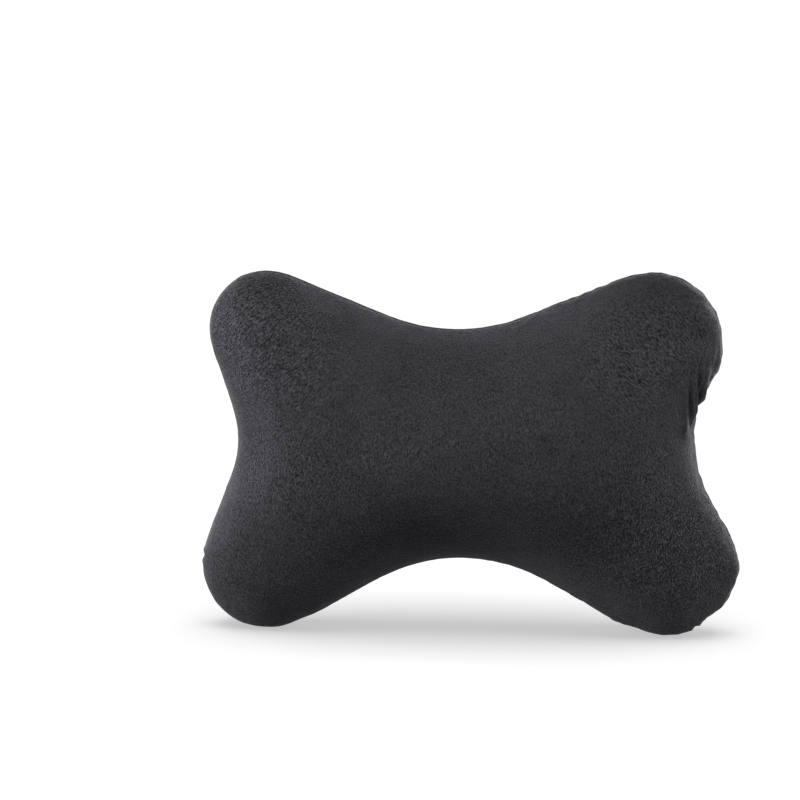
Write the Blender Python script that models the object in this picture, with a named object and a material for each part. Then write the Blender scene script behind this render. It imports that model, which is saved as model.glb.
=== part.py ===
"""Car neck pillow: two bone-shaped plush panels, sewn edge to edge round a fibre filling, with an elastic
strap across the back that holds the pillow on a headrest.

X runs along the pillow's width, Z is up and the front faces -Y. The pillow stands on its two lower lobes,
with the floor at Z = 0 and the seam in the plane Y = 0. Lengths are in metres.
"""

import math

import bmesh
import bpy
import numpy as np
from mathutils import Vector
from mathutils.bvhtree import BVHTree

# Overall size: across the lower lobes, up to the upper right lobe's top, and through the stuffed middle
PILLOW_WIDTH = 0.2832
PILLOW_HEIGHT = 0.1917
PILLOW_DEPTH = 0.095

# Lobes: how far the upper two stay inside the lower two's reach, the left one's lower top, and the round ends
UPPER_LEFT_INSET = 0.0046
UPPER_RIGHT_INSET = 0.0091
UPPER_LEFT_DROP = 0.0015
UPPER_LEFT_RADIUS = 0.030
UPPER_RIGHT_RADIUS = 0.0365
LOWER_LEFT_RADIUS = 0.035
LOWER_RIGHT_RADIUS = 0.038

# Hollows between the lobes: how deep each is cut in, and how straight its flanks are, from 0, a single arc,
# to 1, a corner
RIGHT_HOLLOW_DEPTH = 0.0138
RIGHT_HOLLOW_STRAIGHTNESS = 0.05
TOP_HOLLOW_DEPTH = 0.0305
TOP_HOLLOW_STRAIGHTNESS = 0.34
LEFT_HOLLOW_DEPTH = 0.0157
LEFT_HOLLOW_STRAIGHTNESS = 0.44
BOTTOM_HOLLOW_DEPTH = 0.0413
BOTTOM_HOLLOW_STRAIGHTNESS = 0.23

# Crown: how full the panels stand towards the seam, and how far the floor presses the lobes in
CROWN_POWER = 0.5
FLOOR_PRESS = 0.0016

# Panels: plush thickness with its pile, the rolled edge beside the seam and the allowance turned inwards
PLUSH_THICKNESS = 0.002
SEAM_SINK = 0.0022
ROLL_HEIGHT = 0.0045
SEAM_ALLOWANCE = 0.007

# Gathers in the plush beside the seam, above the right hollow
GATHER_START = 0.004
GATHER_PITCH = 0.008
GATHER_COUNT = 3
GATHER_DEPTH = 0.0013
GATHER_LENGTH = 0.018

# Elastic strap across the back
STRAP_WIDTH = 0.025
STRAP_THICKNESS = 0.0015
STRAP_END_INSET = 0.021
STRAP_LAND = 0.020

# Room left between pieces that touch
FIT_GAP = 0.0003

# Fineness of the meshes
STRAIGHT_COLUMN_PITCH = 0.0155
COLUMNS_PER_RADIAN = 1.7
GATHER_COLUMN_PITCH = 0.003
CROWN_RINGS = 11
STRAP_STATIONS = 12
OUTLINE_STEP = 0.0005

PLUSH_COLOUR = (0.036, 0.035, 0.039, 1.0)
FIBRE_COLOUR = (0.82, 0.82, 0.80, 1.0)
ELASTIC_COLOUR = (0.012, 0.012, 0.013, 1.0)


def clear_scene():
    """Removes what the startup file left in the scene."""
    for leftover in list(bpy.data.objects):
        bpy.data.objects.remove(leftover, do_unlink=True)


def cloth_material(name, colour, roughness, sheen):
    """A soft, unpolished surface of one colour."""
    material = bpy.data.materials.new(name)
    material.use_nodes = True
    shader = material.node_tree.nodes["Principled BSDF"]
    shader.inputs["Base Color"].default_value = colour
    shader.inputs["Metallic"].default_value = 0.0
    shader.inputs["Roughness"].default_value = roughness
    shader.inputs["Sheen Weight"].default_value = sheen
    return material


# Seam outline

def hollow_between(first, second, outward, depth, straightness):
    """The hollow's arc between two neighbouring lobes, on the side of the pillow that outward points to.

    Only one arc touches both lobes and is deepest at the given depth behind the lobe that reaches less.
    The hollow keeps its deepest point and gives up a share of its radius to straight flanks.
    """
    out, across = np.array(outward), np.array([-outward[1], outward[0]])
    centres = np.array([first[:2], second[:2]])
    radii = np.array([first[2], second[2]])
    reaches = centres @ out
    aside = centres @ across
    deepest = (reaches + radii).min() - depth
    to_deepest = deepest - reaches
    slope = 2 * (radii - to_deepest)
    offset = to_deepest ** 2 - radii ** 2
    squares = slope[1] - slope[0]
    halves = aside[1] * slope[0] - aside[0] * slope[1]
    rest = (aside[0] ** 2 + offset[0]) * slope[1] - (aside[1] ** 2 + offset[1]) * slope[0]
    place = min(np.roots([squares, 2 * halves, rest]).real, key=lambda root: abs(root - aside.mean()))
    radius = (1 - straightness) * ((place - aside[0]) ** 2 + offset[0]) / slope[0]
    x, z = (deepest + radius) * out + place * across
    return x, z, radius, -1


def lobe(reach, height, radius):
    """A lobe's arc, from how far its end reaches, with a minus to the left, and its centre's height."""
    return math.copysign(abs(reach) - radius, reach), height, radius, 1


def outline_arcs():
    """The outline's arcs, anticlockwise from the right hollow, as (x, z, radius, +1 lobe or -1 hollow)."""
    reach = PILLOW_WIDTH / 2
    left_top = PILLOW_HEIGHT - UPPER_LEFT_DROP
    upper_right = lobe(reach - UPPER_RIGHT_INSET, PILLOW_HEIGHT - UPPER_RIGHT_RADIUS, UPPER_RIGHT_RADIUS)
    upper_left = lobe(UPPER_LEFT_INSET - reach, left_top - UPPER_LEFT_RADIUS, UPPER_LEFT_RADIUS)
    lower_left = lobe(-reach, LOWER_LEFT_RADIUS - FLOOR_PRESS, LOWER_LEFT_RADIUS)
    lower_right = lobe(reach, LOWER_RIGHT_RADIUS - FLOOR_PRESS, LOWER_RIGHT_RADIUS)
    return [
        hollow_between(lower_right, upper_right, (1, 0), RIGHT_HOLLOW_DEPTH, RIGHT_HOLLOW_STRAIGHTNESS),
        upper_right,
        hollow_between(upper_right, upper_left, (0, 1), TOP_HOLLOW_DEPTH, TOP_HOLLOW_STRAIGHTNESS),
        upper_left,
        hollow_between(upper_left, lower_left, (-1, 0), LEFT_HOLLOW_DEPTH, LEFT_HOLLOW_STRAIGHTNESS),
        lower_left,
        hollow_between(lower_left, lower_right, (0, -1), BOTTOM_HOLLOW_DEPTH, BOTTOM_HOLLOW_STRAIGHTNESS),
        lower_right,
    ]


def waist_middle():
    """Half way up the waist, between the deepest points of the top and bottom hollows."""
    arcs = outline_arcs()
    top, bottom = arcs[2], arcs[6]
    return (top[1] - top[2] + bottom[1] + bottom[2]) / 2


def tangent_angle(arc, following):
    """The direction, from each arc's own centre, of the points where their common tangent touches them."""
    x, z, radius, turn = arc
    next_x, next_z, next_radius, next_turn = following
    span = math.hypot(next_x - x, next_z - z)
    bearing = math.atan2(next_z - z, next_x - x)
    left_of_run = bearing + math.acos((next_turn * next_radius - turn * radius) / span)
    return left_of_run + math.pi


def outline_corners():
    """The whole outline as a fine run of points with the bend at each, from the right hollow's deepest."""
    arcs = outline_arcs()
    touches = [tangent_angle(arc, arcs[(i + 1) % len(arcs)]) for i, arc in enumerate(arcs)]
    corners = []
    for i, (x, z, radius, turn) in enumerate(arcs):
        flip = 0.0 if turn > 0 else math.pi
        start = touches[i - 1] + flip
        sweep = turn * ((touches[i] - touches[i - 1]) * turn % (2 * math.pi))
        steps = max(2, round(abs(sweep) * radius / OUTLINE_STEP))
        for step in range(steps + 1):
            angle = start + sweep * step / steps
            corners.append((x + radius * math.cos(angle), z + radius * math.sin(angle), 1 / radius))
    corners = np.array(corners)
    right_hollow_height = arcs[0][1]
    from_deepest = np.where(corners[:, 0] > 0, abs(corners[:, 1] - right_hollow_height), np.inf)
    corners = np.roll(corners, -np.argmin(from_deepest), axis=0)
    return np.vstack([corners, corners[:1]])


def column_density(along, bends):
    """Columns for each metre of the outline: more where it bends and where the seam gathers the plush."""
    plain = 1 / STRAIGHT_COLUMN_PITCH + COLUMNS_PER_RADIAN * bends
    spread = GATHER_PITCH * GATHER_COUNT
    middle = GATHER_START + spread / 2
    near = np.exp(-((along - middle) / spread) ** 2)
    near_past_start = np.exp(-((along - along[-1] - middle) / spread) ** 2)
    return plain + (1 / GATHER_COLUMN_PITCH - 1 / STRAIGHT_COLUMN_PITCH) * (near + near_past_start)


def outline_columns():
    """Points on the outline, their outward normals, their places along it, and its whole length."""
    corners = outline_corners()
    steps = np.linalg.norm(np.diff(corners[:, :2], axis=0), axis=1)
    along = np.concatenate([[0.0], np.cumsum(steps)])
    density = column_density(along, corners[:, 2])
    filled = np.concatenate([[0.0], np.cumsum(steps * (density[1:] + density[:-1]) / 2)])
    count = round(filled[-1])
    places = np.interp(np.arange(count) * filled[-1] / count, filled, along)
    points, ahead = (
        np.column_stack([np.interp(reach, along, corners[:, axis]) for axis in (0, 1)])
        for reach in (places, places + OUTLINE_STEP)
    )
    run = ahead - points
    normals = np.column_stack([run[:, 1], -run[:, 0]]) / np.linalg.norm(run, axis=1)[:, None]
    return points, normals, places, along[-1]


# Crown of a stuffed panel

def ring_shares():
    """How far out each crown ring lies between the middle and the outline, closer together at the seam."""
    return [math.sin(math.pi / 2 * (i + 1) / CROWN_RINGS) for i in range(CROWN_RINGS)]


def flat_rings(points):
    """The crown's rings laid flat, from the middle outwards, as arrays of (x, z)."""
    middle = np.array([0.0, waist_middle()])
    return middle, [middle + share * (points - middle) for share in ring_shares()]


def crown_faces(ring_count, column_count):
    """Triangles between the rings as vertex numbers, the middle being number 0."""
    faces = []
    for column in range(column_count):
        beside = (column + 1) % column_count
        faces.append((0, 1 + column, 1 + beside))
        for ring in range(ring_count - 1):
            inner = 1 + ring * column_count
            outer = inner + column_count
            faces.append((inner + column, outer + column, outer + beside))
            faces.append((inner + column, outer + beside, inner + beside))
    return np.array(faces)


def membrane_rise(middle, rings):
    """How high an evenly blown membrane that is held along the outer ring stands at each ring, highest 1."""
    flat = np.vstack([middle[None], *rings])
    faces = crown_faces(len(rings), len(rings[0]))
    stiffness = np.zeros((len(flat), len(flat)))
    load = np.zeros(len(flat))
    for corner in range(3):
        apex, left, right = (faces[:, (corner + turn) % 3] for turn in range(3))
        to_left, to_right = flat[left] - flat[apex], flat[right] - flat[apex]
        twice_area = np.abs(to_left[:, 0] * to_right[:, 1] - to_left[:, 1] * to_right[:, 0])
        half_cotangent = (to_left * to_right).sum(axis=1) / twice_area / 2
        np.add.at(stiffness, (left, right), -half_cotangent)
        np.add.at(stiffness, (right, left), -half_cotangent)
        np.add.at(stiffness, (left, left), half_cotangent)
        np.add.at(stiffness, (right, right), half_cotangent)
        np.add.at(load, apex, twice_area / 6)
    free = len(flat) - len(rings[0])
    rise = np.zeros(len(flat))
    rise[:free] = np.linalg.solve(stiffness[:free, :free], load[:free])
    rise = rise / rise.max()
    return rise[0], rise[1:].reshape(len(rings), -1)


def gather_dips(places, length, inset):
    """How deep the gathers draw the plush in at each column, fading inwards from the seam."""
    from_start = np.where(places > length / 2, places - length, places) - GATHER_START
    waves = (1 - np.cos(2 * math.pi * from_start / GATHER_PITCH)) / 2
    inside = (from_start > 0) & (from_start < GATHER_PITCH * GATHER_COUNT)
    return GATHER_DEPTH * waves * inside * np.exp(-(inset / GATHER_LENGTH) ** 2)


class StuffedOutline:
    """The outline's columns and the crown's height over them, shared by the panels and the filling."""

    def __init__(self):
        self.points, self.normals, self.places, self.length = outline_columns()
        self.middle, self.rings = flat_rings(self.points)
        self.middle_rise, self.rises = membrane_rise(self.middle, self.rings)

    def edge_ring(self, inset, height):
        """A ring beside the seam, at one inset from the outline and one height over the seam's plane."""
        flat = self.points - inset * self.normals
        return np.column_stack([flat[:, 0], np.full(len(flat), height), flat[:, 1]])

    def crown_ring(self, index):
        """One crown ring at its stuffed height, with the gathers pressed into it."""
        ring = self.rings[index]
        height = ROLL_HEIGHT + (PILLOW_DEPTH / 2 - ROLL_HEIGHT) * self.rises[index] ** CROWN_POWER
        inset = ((self.points - ring) * self.normals).sum(axis=1)
        dips = gather_dips(self.places, self.length, inset)
        flat = ring - dips[:, None] * self.normals
        return np.column_stack([flat[:, 0], height - dips * self.rises[index] ** CROWN_POWER, flat[:, 1]])

    def crown_middle(self):
        """The crown's highest point, in the middle."""
        return np.array([self.middle[0], PILLOW_DEPTH / 2 * self.middle_rise, self.middle[1]])


# Shells and solids from rings

def add_ring(bm, ring):
    """Adds one closed ring of vertices."""
    return [bm.verts.new(point) for point in ring]


def skin_rings(bm, rings):
    """Closes the strips between each ring and the next with quads."""
    for near, far in zip(rings, rings[1:]):
        for column in range(len(near)):
            beside = (column + 1) % len(near)
            bm.faces.new((near[column], near[beside], far[beside], far[column]))


def cap_ring(bm, ring, middle):
    """Closes a ring with a fan round one middle vertex."""
    apex = bm.verts.new(middle)
    for column, vertex in enumerate(ring):
        bm.faces.new((vertex, ring[(column + 1) % len(ring)], apex))


def press_on_floor(rings, lowest):
    """Flattens what hangs below a height, as the pillow's own weight does."""
    return [np.column_stack([ring[:, 0], ring[:, 1], np.maximum(ring[:, 2], lowest)]) for ring in rings]


def crown_normals(rings, middle):
    """Outward normals of a crown surface at each ring, and at its middle."""
    bm = bmesh.new()
    vertices = [add_ring(bm, ring) for ring in rings]
    skin_rings(bm, vertices)
    cap_ring(bm, vertices[-1], middle)
    bm.normal_update()
    bm.verts.ensure_lookup_table()
    normals = np.array([vertex.normal[:] for vertex in bm.verts])
    bm.free()
    if normals[-1][1] < 0:
        normals = -normals
    return normals[:-1].reshape(len(rings), -1, 3), normals[-1]


def crown_surface(shape, thickness):
    """The crown's rings from the seam inwards, and its middle: all on the plush's face, or every second one
    at a thickness below it.
    """
    outer = [shape.crown_ring(index) for index in reversed(range(CROWN_RINGS))]
    outer = press_on_floor(outer, 0.0)
    middle = shape.crown_middle()
    if thickness == 0:
        return outer, middle
    normals, middle_normal = crown_normals(outer, middle)
    inner = [ring - thickness * normal for ring, normal in zip(outer, normals)][1::2]
    return press_on_floor(inner, thickness), middle - thickness * middle_normal


def panel_rings(shape):
    """One panel's outer and inner rings, from the raw edge of its seam allowance to the crown."""
    raw_edge = SEAM_SINK + SEAM_ALLOWANCE
    face = FIT_GAP / 2
    back_face = face + PLUSH_THICKNESS
    fold = SEAM_SINK + PLUSH_THICKNESS / 2
    outer, outer_middle = crown_surface(shape, 0)
    inner, inner_middle = crown_surface(shape, PLUSH_THICKNESS)
    edge = [
        shape.edge_ring(raw_edge, face),
        shape.edge_ring(SEAM_SINK, face),
        shape.edge_ring(SEAM_SINK / 4, (face + ROLL_HEIGHT) / 3),
    ]
    hem = [
        shape.edge_ring(raw_edge, back_face),
        shape.edge_ring(fold, back_face),
    ]
    outer = press_on_floor(edge, 0.0) + outer
    inner = press_on_floor(hem, PLUSH_THICKNESS) + inner
    return outer, outer_middle, inner, inner_middle


def finish_object(name, bm, material):
    """Turns a closed bmesh into a named, smooth-shaded object with its faces pointing out."""
    bmesh.ops.recalc_face_normals(bm, faces=bm.faces)
    mesh = bpy.data.meshes.new(name)
    bm.to_mesh(mesh)
    bm.free()
    mesh.shade_smooth()
    mesh.set_sharp_from_angle(angle=math.radians(50))
    obj = bpy.data.objects.new(name, mesh)
    bpy.context.scene.collection.objects.link(obj)
    obj.data.materials.append(material)
    return obj


def turned(ring, side):
    """A ring on the front, side -1, or on the back, side +1."""
    return ring * np.array([1.0, side, 1.0])


def make_panel(name, shape, side, material):
    """A bone-shaped plush panel, crowned by the filling, with its edge rolled in to the seam."""
    outer, outer_middle, inner, inner_middle = panel_rings(shape)
    bm = bmesh.new()
    outer_rings = [add_ring(bm, turned(ring, side)) for ring in outer]
    inner_rings = [add_ring(bm, turned(ring, side)) for ring in inner]
    skin_rings(bm, outer_rings)
    skin_rings(bm, inner_rings)
    skin_rings(bm, [outer_rings[0], inner_rings[0]])
    cap_ring(bm, outer_rings[-1], turned(outer_middle, side))
    cap_ring(bm, inner_rings[-1], turned(inner_middle, side))
    return finish_object(name, bm, material)


def filling_half(shape):
    """Half of the filling's rings, from the groove that holds the seam allowances to the crown."""
    under = PLUSH_THICKNESS + FIT_GAP
    ledge = FIT_GAP / 2 + under
    inner, middle = crown_surface(shape, under)
    groove = [
        shape.edge_ring(SEAM_SINK + SEAM_ALLOWANCE + FIT_GAP, ledge),
        shape.edge_ring(SEAM_SINK + PLUSH_THICKNESS / 2 + FIT_GAP, ledge),
    ]
    return press_on_floor(groove, under) + inner, middle


def make_filling(shape, material):
    """The fibre filling, which fills both panels and is grooved round its edge by their seam."""
    bm = bmesh.new()
    grooves = []
    for side in (-1, 1):
        rings, middle = filling_half(shape)
        vertices = [add_ring(bm, turned(ring, side)) for ring in rings]
        skin_rings(bm, vertices)
        cap_ring(bm, vertices[-1], turned(middle, side))
        grooves.append(vertices[0])
    skin_rings(bm, grooves)
    return finish_object("fibre_filling", bm, material)


# Strap

def back_height(tree, x, z):
    """How far behind the seam the back panel's face lies at a point."""
    hit = tree.ray_cast(Vector((x, PILLOW_DEPTH, z)), Vector((0.0, -1.0, 0.0)))
    return hit[0].y


def strap_path(panel):
    """Points along the strap's inner face as (x, y), lying on the back panel and flat on the middle land."""
    tree = BVHTree.FromObject(panel, bpy.context.evaluated_depsgraph_get())
    across = waist_middle() + STRAP_WIDTH * np.linspace(-0.5, 0.5, 5)
    right_hollow, left_hollow = outline_arcs()[0], outline_arcs()[4]
    left_end = left_hollow[0] + left_hollow[2] + STRAP_END_INSET
    right_end = right_hollow[0] - right_hollow[2] - STRAP_END_INSET
    left = np.linspace(left_end, -STRAP_LAND / 2, STRAP_STATIONS)
    right = np.linspace(STRAP_LAND / 2, right_end, STRAP_STATIONS)
    places = np.concatenate([left, right])
    heights = [max(back_height(tree, x, z) for z in across) + FIT_GAP for x in places]
    heights[STRAP_STATIONS - 1] = PILLOW_DEPTH / 2 + FIT_GAP
    heights[STRAP_STATIONS] = PILLOW_DEPTH / 2 + FIT_GAP
    return np.column_stack([places, heights])


def make_strap(panel, material):
    """A flat elastic band that hugs the back panel, sewn down at both ends."""
    path = strap_path(panel)
    run = np.gradient(path, axis=0)
    outward = np.column_stack([-run[:, 1], run[:, 0]]) / np.linalg.norm(run, axis=1)[:, None]
    outward[STRAP_STATIONS - 1:STRAP_STATIONS + 1] = (0.0, 1.0)
    low, high = waist_middle() - STRAP_WIDTH / 2, waist_middle() + STRAP_WIDTH / 2
    bm = bmesh.new()
    stations = []
    for (x, y), (out_x, out_y) in zip(path, outward):
        top_x, top_y = x + STRAP_THICKNESS * out_x, y + STRAP_THICKNESS * out_y
        corners = ((x, y, low), (x, y, high), (top_x, top_y, high), (top_x, top_y, low))
        stations.append([bm.verts.new(corner) for corner in corners])
    skin_rings(bm, stations)
    bm.faces.new(stations[0])
    bm.faces.new(stations[-1])
    return finish_object("headrest_strap", bm, material)


def main():
    clear_scene()
    plush = cloth_material("dark_plush", PLUSH_COLOUR, 0.9, 0.6)
    fibre = cloth_material("white_fibre", FIBRE_COLOUR, 1.0, 0.0)
    elastic = cloth_material("black_elastic", ELASTIC_COLOUR, 0.75, 0.1)
    shape = StuffedOutline()
    make_panel("front_panel", shape, -1, plush)
    back = make_panel("back_panel", shape, 1, plush)
    make_filling(shape, fibre)
    make_strap(back, elastic)


main()
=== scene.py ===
"""Looks of the car neck pillow: two bone-shaped plush panels, sewn edge to edge round a fibre filling, with
an elastic strap across the back.

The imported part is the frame. A bag is taken off its two panels, stuffed by a cloth simulation, creased
and sewn in along its seam, and cut into the front and the back plush. The filling follows the bag, and
the strap lies on the back. Lengths are in metres, X runs along the pillow's width and the front faces -Y.
"""

import logging
import math
from collections.abc import Iterator, Sequence
from contextlib import contextmanager
from dataclasses import dataclass, field
from enum import Enum
from typing import ClassVar

import bmesh
import bpy
import numpy as np
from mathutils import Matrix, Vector, noise
from mathutils.bvhtree import BVHTree
from mathutils.kdtree import KDTree


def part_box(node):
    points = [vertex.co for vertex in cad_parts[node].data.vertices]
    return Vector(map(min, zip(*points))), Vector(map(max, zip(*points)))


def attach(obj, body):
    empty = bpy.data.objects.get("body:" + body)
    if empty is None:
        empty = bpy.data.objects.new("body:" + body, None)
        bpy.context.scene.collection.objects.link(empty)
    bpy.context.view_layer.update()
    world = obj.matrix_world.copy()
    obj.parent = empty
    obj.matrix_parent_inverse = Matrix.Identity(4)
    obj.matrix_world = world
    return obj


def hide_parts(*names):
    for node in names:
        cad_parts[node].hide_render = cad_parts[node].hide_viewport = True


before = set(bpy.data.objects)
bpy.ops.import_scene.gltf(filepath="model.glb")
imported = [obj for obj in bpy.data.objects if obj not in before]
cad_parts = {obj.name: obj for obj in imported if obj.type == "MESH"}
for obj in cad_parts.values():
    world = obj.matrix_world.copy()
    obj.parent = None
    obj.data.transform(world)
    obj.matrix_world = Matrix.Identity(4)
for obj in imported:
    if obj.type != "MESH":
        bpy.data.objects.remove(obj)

LOG = logging.getLogger("neck_pillow")
FLOOR_LEVEL = 0.0


class Side(Enum):
    """The two sides of the seam, by the sign of Y."""

    FRONT = -1
    BACK = 1


class Weave(Enum):
    """Which way the ribs of a webbing run."""

    LENGTHWISE = 0
    CROSSWISE = 1


class Lit(Enum):
    """What a light of the studio shines on, by the name of its group."""

    FLOOR = "lit_floor"
    PILLOW = "lit_pillow"


# Mesh helpers


def points_of(mesh: bpy.types.Mesh) -> np.ndarray:
    """Reads a mesh's vertices.

    Args:
        mesh: The mesh to read.

    Returns:
        An array with one row of x, y and z for each vertex.
    """
    flat = np.empty(len(mesh.vertices) * 3)
    mesh.vertices.foreach_get("co", flat)
    return flat.reshape(-1, 3)


def normals_of(mesh: bpy.types.Mesh) -> np.ndarray:
    """Reads a mesh's vertex normals.

    Args:
        mesh: The mesh to read.

    Returns:
        An array with one unit normal for each vertex.
    """
    flat = np.empty(len(mesh.vertices) * 3)
    mesh.vertex_normals.foreach_get("vector", flat)
    return flat.reshape(-1, 3)


def place_points(mesh: bpy.types.Mesh, points: np.ndarray) -> None:
    """Moves a mesh's vertices.

    Args:
        mesh: The mesh to change.
        points: The new place of each vertex.
    """
    mesh.vertices.foreach_set("co", np.ascontiguousarray(points, dtype=np.float32).ravel())
    mesh.update()


def smooth_step(share: np.ndarray) -> np.ndarray:
    """Eases from 0 at 0 and below to 1 at 1 and above.

    Args:
        share: The values to ease.

    Returns:
        The eased values, from 0 to 1.
    """
    held = np.clip(share, 0.0, 1.0)
    return held * held * (3.0 - 2.0 * held)


@dataclass(frozen=True)
class Span:
    """A stretch along one axis over which something rises from nothing to all.

    Attributes:
        start: Where it is still 0.
        end: Where it is 1. It may lie before the start.
    """

    start: float
    end: float

    def eased(self, places: np.ndarray) -> np.ndarray:
        """The share at each place.

        Args:
            places: Places along the axis.

        Returns:
            One share from 0 to 1 for each place.
        """
        return smooth_step((places - self.start) / (self.end - self.start))


def soft_noise(points: np.ndarray, pitch: float, seed: float = 0.0) -> np.ndarray:
    """Smooth noise over points in space, the same on each run.

    Args:
        points: The points, in metres.
        pitch: The size of the noise's lumps, in metres.
        seed: Where in the noise to look, so that two uses differ.

    Returns:
        One value from about -1 to 1 for each point.
    """
    shift = Vector((seed, seed * 0.7, seed * 1.3))
    return np.array([noise.noise(Vector(point) / pitch + shift) for point in points])


def object_from(bm: bmesh.types.BMesh, name: str) -> bpy.types.Object:
    """Turns a bmesh into a smooth object at the origin, and frees it.

    Args:
        bm: The bmesh to take.
        name: The name of the object and its mesh.

    Returns:
        The object, linked to the scene.
    """
    mesh = bpy.data.meshes.new(name)
    bm.to_mesh(mesh)
    bm.free()
    mesh.shade_smooth()
    obj = bpy.data.objects.new(name, mesh)
    bpy.context.scene.collection.objects.link(obj)
    return obj


def apply_modifiers(obj: bpy.types.Object) -> None:
    """Turns an object's modifiers into its mesh.

    Args:
        obj: The object, which keeps its name and loses its modifiers.
    """
    graph = bpy.context.evaluated_depsgraph_get()
    old = obj.data
    made = bpy.data.meshes.new_from_object(obj.evaluated_get(graph))
    obj.modifiers.clear()
    obj.data = made
    made.name = obj.name
    bpy.data.meshes.remove(old)


def subdivide_smoothly(obj: bpy.types.Object, levels: int) -> None:
    """Rounds an object with a subdivision surface and applies it.

    Args:
        obj: The object to round.
        levels: How many times each face is divided.
    """
    rounding = obj.modifiers.new("rounding", "SUBSURF")
    rounding.levels = levels
    rounding.render_levels = levels
    apply_modifiers(obj)


@contextmanager
def edited(obj: bpy.types.Object) -> Iterator[bmesh.types.BMesh]:
    """Opens an object's mesh for bmesh operators, and puts it back afterwards.

    Args:
        obj: The object to edit.

    Yields:
        Its mesh as a bmesh.
    """
    bm = bmesh.new()
    bm.from_mesh(obj.data)
    yield bm
    bm.to_mesh(obj.data)
    bm.free()


def face_side(sheet: bpy.types.Object, side: Side) -> None:
    """Turns an open sheet's faces towards one side of the seam's plane.

    Args:
        sheet: The sheet, whose faces agree with each other.
        side: The side that they have to look to.
    """
    with edited(sheet) as bm:
        lean = sum(face.normal.y * face.calc_area() for face in bm.faces)
        if lean * side.value < 0:
            bmesh.ops.reverse_faces(bm, faces=bm.faces)


def cut_by_seam(bm: bmesh.types.BMesh, side: Side, drop_outer: bool) -> None:
    """Cuts a bmesh along the seam's plane.

    Args:
        bm: The bmesh to cut.
        side: The side that the plane faces away from.
        drop_outer: Whether what lies past the plane goes.
    """
    everything = list(bm.verts) + list(bm.edges) + list(bm.faces)
    bmesh.ops.bisect_plane(bm, geom=everything, dist=1e-5, plane_co=(0.0, 0.0, 0.0),
                           plane_no=(0.0, -float(side.value), 0.0), clear_outer=drop_outer)


def smooth_verts(bm: bmesh.types.BMesh, verts: Sequence[bmesh.types.BMVert], rounds: int) -> None:
    """Moves vertices halfway towards the mean of their neighbours, as often as asked.

    Args:
        bm: The bmesh to smooth.
        verts: The vertices that may move.
        rounds: How often they move.
    """
    for _ in range(rounds):
        bmesh.ops.smooth_vert(bm, verts=verts, factor=0.5, use_axis_x=True, use_axis_y=True, use_axis_z=True)


def delete_object(obj: bpy.types.Object) -> None:
    """Removes a helper object and its mesh."""
    mesh = obj.data
    bpy.data.objects.remove(obj)
    bpy.data.meshes.remove(mesh)


def surface_tree(obj: bpy.types.Object) -> BVHTree:
    """A search tree over an object's faces, for finding near points."""
    bm = bmesh.new()
    bm.from_mesh(obj.data)
    tree = BVHTree.FromBMesh(bm)
    bm.free()
    return tree


# Finishes


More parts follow.
